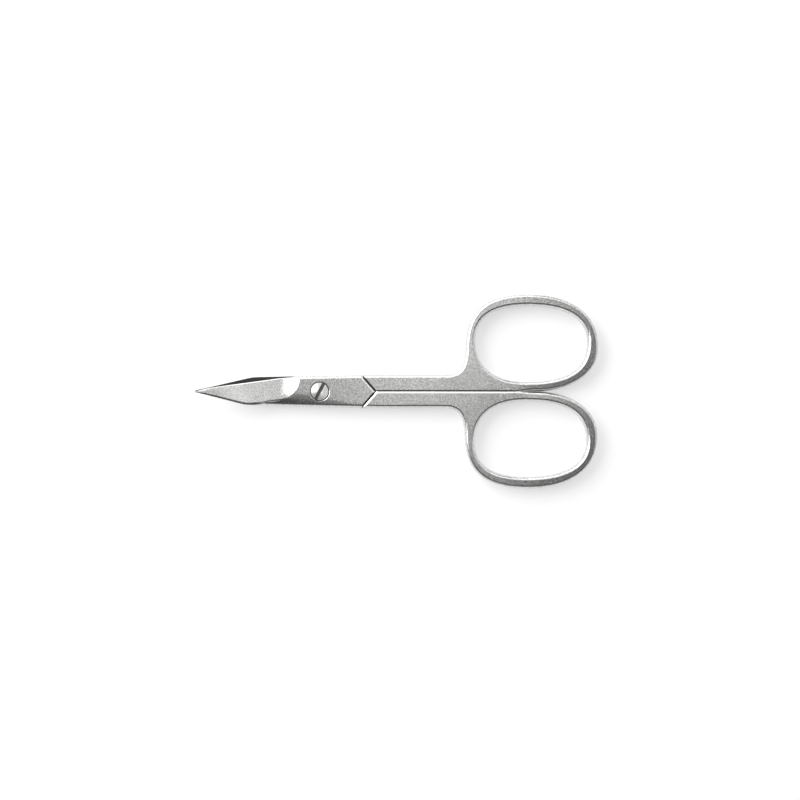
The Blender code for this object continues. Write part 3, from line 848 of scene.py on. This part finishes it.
# Floor, room and camera, with the floor and the boxes' distance in metres. The sky's heights
# are the upward part of a direction: it is pale below edgeFrom, darkest between edgeTo and
# topFrom, and lighter again above topTo. The camera's place is in millimetres from the pivot.
studio = {
    "floorColour": "#B2B2B3", "floorGlow": 0.55, "floorSize": 6.0,
    "floorRoughness": 0.9, "floorSpecular": 0.1,
    "skyEdge": 0.60, "edgeFrom": 0.42, "edgeTo": 0.62,
    "skyDark": 0.07,
    "skyTop": 0.33, "topFrom": 0.90, "topTo": 0.993,
    "boxDistance": 0.7,
    "cameraPlace": (17.95, -1.92, 320), "lens": 63.8, "sensorWidth": 36,
    "clipStart": 0.01, "clipEnd": 20,
}

# Softboxes round the table: direction in degrees, size in metres and brightness
softboxes = {
    "keyBox": {"azimuth": 122, "zenith": 42, "width": 1.15, "height": 1.06, "radiance": 0.85},
    "leftBox": {"azimuth": 152, "zenith": 56, "width": 0.68, "height": 0.59, "radiance": 4.6},
    "rightBox": {"azimuth": 32, "zenith": 46, "width": 0.80, "height": 0.56, "radiance": 0.66},
    "overhead": {"azimuth": 38, "zenith": 4, "width": 0.05, "height": 0.17, "radiance": 2.5},
    "backBox": {"azimuth": 108, "zenith": 66, "width": 0.72, "height": 0.45, "radiance": 1.2},
    "lowBox": {"azimuth": 50, "zenith": 78, "width": 0.39, "height": 0.27, "radiance": 0.5},
}


# The floor is white paper: its own colour takes the shadow, and a glow brings the lit paper up
# to white, for the camera and for reflections alone
def addFloor():
    half = studio["floorSize"] / 2
    corners = [(-half, -half, 0), (half, -half, 0), (half, half, 0), (-half, half, 0)]
    mesh = bpy.data.meshes.new("floor")
    mesh.from_pydata(corners, [], [(0, 1, 2, 3)])
    floor = addObject("floor", mesh)
    material = bpy.data.materials.new("whitePaper")
    material.use_nodes = True
    tree = material.node_tree
    shader = tree.nodes["Principled BSDF"]
    shader.inputs["Base Color"].default_value = linearColour(studio["floorColour"])
    shader.inputs["Roughness"].default_value = studio["floorRoughness"]
    shader.inputs["Specular IOR Level"].default_value = studio["floorSpecular"]
    rays = addNode(tree, "ShaderNodeLightPath")
    seen = addNode(tree, "ShaderNodeMath", {
        0: rays.outputs["Is Camera Ray"], 1: rays.outputs["Is Glossy Ray"]}, operation="MAXIMUM")
    either = addNode(tree, "ShaderNodeMath", {
        0: seen.outputs[0], 1: rays.outputs["Is Transmission Ray"]}, operation="MAXIMUM")
    glow = addNode(tree, "ShaderNodeMath", {0: either.outputs[0], 1: studio["floorGlow"]},
                   operation="MULTIPLY")
    shader.inputs["Emission Color"].default_value = (1, 1, 1, 1)
    tree.links.new(glow.outputs[0], shader.inputs["Emission Strength"])
    mesh.materials.append(material)


# The softboxes give the white edges. Each stands at its azimuth and zenith and faces the
# origin, and its energy is radiance x pi x width x height.
def addSoftboxes():
    for name, box in softboxes.items():
        azimuth, zenith = math.radians(box["azimuth"]), math.radians(box["zenith"])
        light = bpy.data.lights.new(name, "AREA")
        light.shape = "RECTANGLE"
        light.size, light.size_y = box["width"], box["height"]
        light.energy = box["radiance"] * math.pi * light.size * light.size_y
        thing = addObject(name, light)
        level = math.sin(zenith)
        away = (level * math.cos(azimuth), level * math.sin(azimuth), math.cos(zenith))
        turn = Matrix.Rotation(azimuth + math.pi / 2, 4, "Z") @ Matrix.Rotation(zenith, 4, "X")
        thing.matrix_world = Matrix.Translation(np.array(away) * studio["boxDistance"]) @ turn


# The room is dim overhead, dark round that and pale towards the horizon
def addRoom():
    world = bpy.data.worlds.new("room")
    bpy.context.scene.world = world
    world.use_nodes = True
    tree = world.node_tree
    background = tree.nodes["Background"]
    background.inputs["Color"].default_value = (1, 1, 1, 1)
    way = addNode(tree, "ShaderNodeTexCoord")
    split = addNode(tree, "ShaderNodeSeparateXYZ", {"Vector": way.outputs["Generated"]})
    upper = addNode(tree, "ShaderNodeMapRange", {
        "Value": split.outputs["Z"], "From Min": studio["topFrom"], "From Max": studio["topTo"],
        "To Min": studio["skyDark"], "To Max": studio["skyTop"]},
        interpolation_type="SMOOTHSTEP")
    lower = addNode(tree, "ShaderNodeMapRange", {
        "Value": split.outputs["Z"], "From Min": studio["edgeFrom"], "From Max": studio["edgeTo"],
        "To Min": studio["skyEdge"], "To Max": studio["skyDark"]},
        interpolation_type="SMOOTHSTEP")
    level = addNode(tree, "ShaderNodeMath", {0: upper.outputs[0], 1: lower.outputs[0]},
                    operation="MAXIMUM")
    tree.links.new(level.outputs[0], background.inputs["Strength"])


# The camera looks straight down from over the middle of the photograph's frame
def addCamera():
    camera = bpy.data.cameras.new("camera")
    camera.lens, camera.sensor_width = studio["lens"], studio["sensorWidth"]
    camera.clip_start, camera.clip_end = studio["clipStart"], studio["clipEnd"]
    thing = addObject("camera", camera)
    right, ahead, up = studio["cameraPlace"]
    thing.location = (pivotX + right * mm, ahead * mm, up * mm)
    bpy.context.scene.camera = thing


addFloor()
addSoftboxes()
addRoom()
addCamera()
bpy.context.scene.view_settings.view_transform = "Standard"
print("floor, light and camera set")
